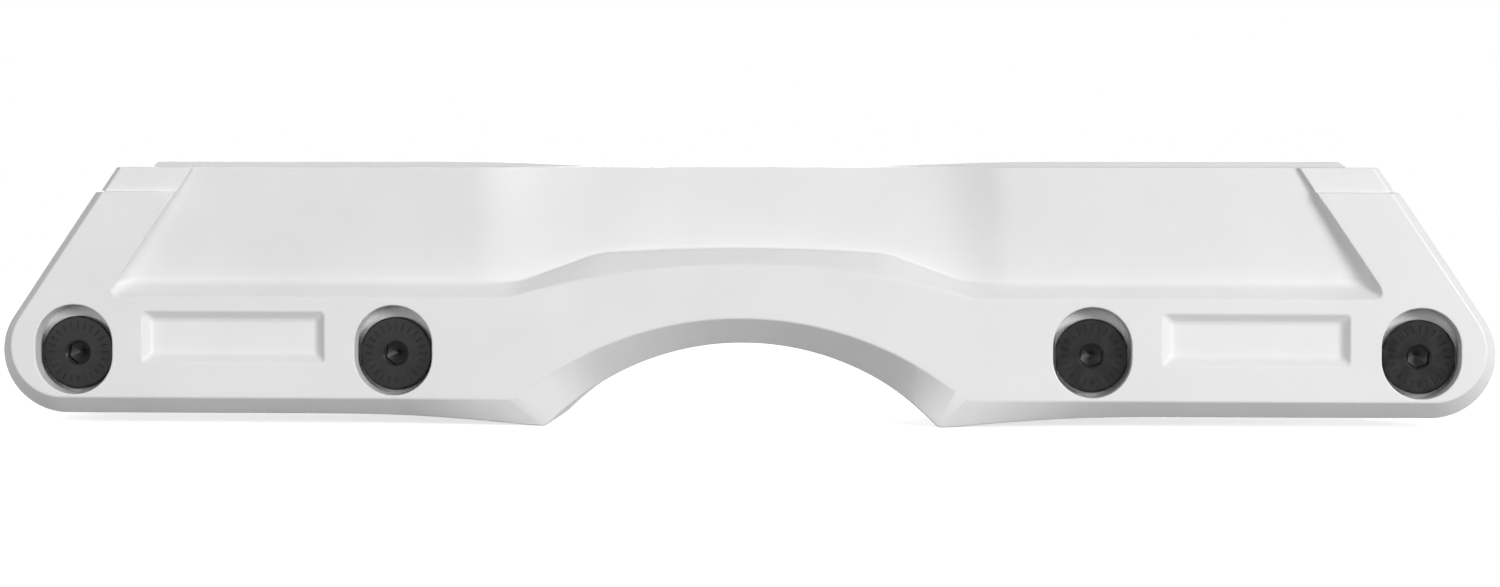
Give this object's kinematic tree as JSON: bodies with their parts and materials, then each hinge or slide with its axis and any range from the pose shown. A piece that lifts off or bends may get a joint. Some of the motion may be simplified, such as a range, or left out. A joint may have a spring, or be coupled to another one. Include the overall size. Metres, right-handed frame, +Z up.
{
  "type": "aggressive inline skate frame",
  "caption": "Moulded nylon frame for an aggressive inline skate, with an arched grinding block between two wheel bays, a slotted boot deck and two-piece keyed axles.",
  "frame": {"origin": "on the ground under the middle of the frame, level with the grinding block's lower corners", "axes": "+X along the skate towards the toe, +Y across it towards the axle bolts, +Z up towards the boot"},
  "size_m": [0.2938, 0.044, 0.0521],
  "materials": {
    "white_nylon": "white injection-moulded nylon, satin",
    "black_steel": "black oxide steel",
    "lock_nylon": "blue nylon thread lock"
  },
  "bodies": {
    "frame": {"frame_body": "white_nylon"},
    "axle_barrel_1": {"axle_barrel_1": "black_steel"},
    "axle_bolt_1": {"axle_bolt_1": "black_steel"},
    "lock_sleeve_1": {"lock_sleeve_1": "lock_nylon"},
    "axle_barrel_2": {"axle_barrel_2": "black_steel"},
    "axle_bolt_2": {"axle_bolt_2": "black_steel"},
    "lock_sleeve_2": {"lock_sleeve_2": "lock_nylon"},
    "axle_barrel_3": {"axle_barrel_3": "black_steel"},
    "axle_bolt_3": {"axle_bolt_3": "black_steel"},
    "lock_sleeve_3": {"lock_sleeve_3": "lock_nylon"},
    "axle_barrel_4": {"axle_barrel_4": "black_steel"},
    "axle_bolt_4": {"axle_bolt_4": "black_steel"},
    "lock_sleeve_4": {"lock_sleeve_4": "lock_nylon"}
  },
  "joints": [
    {"name": "barrel_1_pull", "type": "slide", "parent": "frame", "child": "axle_barrel_1", "axis": [0, -1, 0], "range_m": [0, 0.029]},
    {"name": "bolt_1_travel", "type": "slide", "parent": "frame", "child": "lock_sleeve_1", "axis": [0, 1, 0], "range_m": [0, 0.013]},
    {"name": "bolt_1_turn", "type": "hinge", "parent": "lock_sleeve_1", "child": "axle_bolt_1", "pos_m": [-0.1322, 0, 0.0141], "axis": [0, 1, 0], "range_deg": [0, 4680]},
    {"name": "barrel_2_pull", "type": "slide", "parent": "frame", "child": "axle_barrel_2", "axis": [0, -1, 0], "range_m": [0, 0.029]},
    {"name": "bolt_2_travel", "type": "slide", "parent": "frame", "child": "lock_sleeve_2", "axis": [0, 1, 0], "range_m": [0, 0.013]},
    {"name": "bolt_2_turn", "type": "hinge", "parent": "lock_sleeve_2", "child": "axle_bolt_2", "pos_m": [-0.0686, 0, 0.0141], "axis": [0, 1, 0], "range_deg": [0, 4680]},
    {"name": "barrel_3_pull", "type": "slide", "parent": "frame", "child": "axle_barrel_3", "axis": [0, -1, 0], "range_m": [0, 0.029]},
    {"name": "bolt_3_travel", "type": "slide", "parent": "frame", "child": "lock_sleeve_3", "axis": [0, 1, 0], "range_m": [0, 0.013]},
    {"name": "bolt_3_turn", "type": "hinge", "parent": "lock_sleeve_3", "child": "axle_bolt_3", "pos_m": [0.0686, 0, 0.0141], "axis": [0, 1, 0], "range_deg": [0, 4680]},
    {"name": "barrel_4_pull", "type": "slide", "parent": "frame", "child": "axle_barrel_4", "axis": [0, -1, 0], "range_m": [0, 0.029]},
    {"name": "bolt_4_travel", "type": "slide", "parent": "frame", "child": "lock_sleeve_4", "axis": [0, 1, 0], "range_m": [0, 0.013]},
    {"name": "bolt_4_turn", "type": "hinge", "parent": "lock_sleeve_4", "child": "axle_bolt_4", "pos_m": [0.1322, 0, 0.0141], "axis": [0, 1, 0], "range_deg": [0, 4680]}
  ],
  "couplings": [
    {"joint": "bolt_1_travel", "follows": "bolt_1_turn", "m_per_rad": 0.00015915},
    {"joint": "bolt_2_travel", "follows": "bolt_2_turn", "m_per_rad": 0.00015915},
    {"joint": "bolt_3_travel", "follows": "bolt_3_turn", "m_per_rad": 0.00015915},
    {"joint": "bolt_4_travel", "follows": "bolt_4_turn", "m_per_rad": 0.00015915}
  ]
}
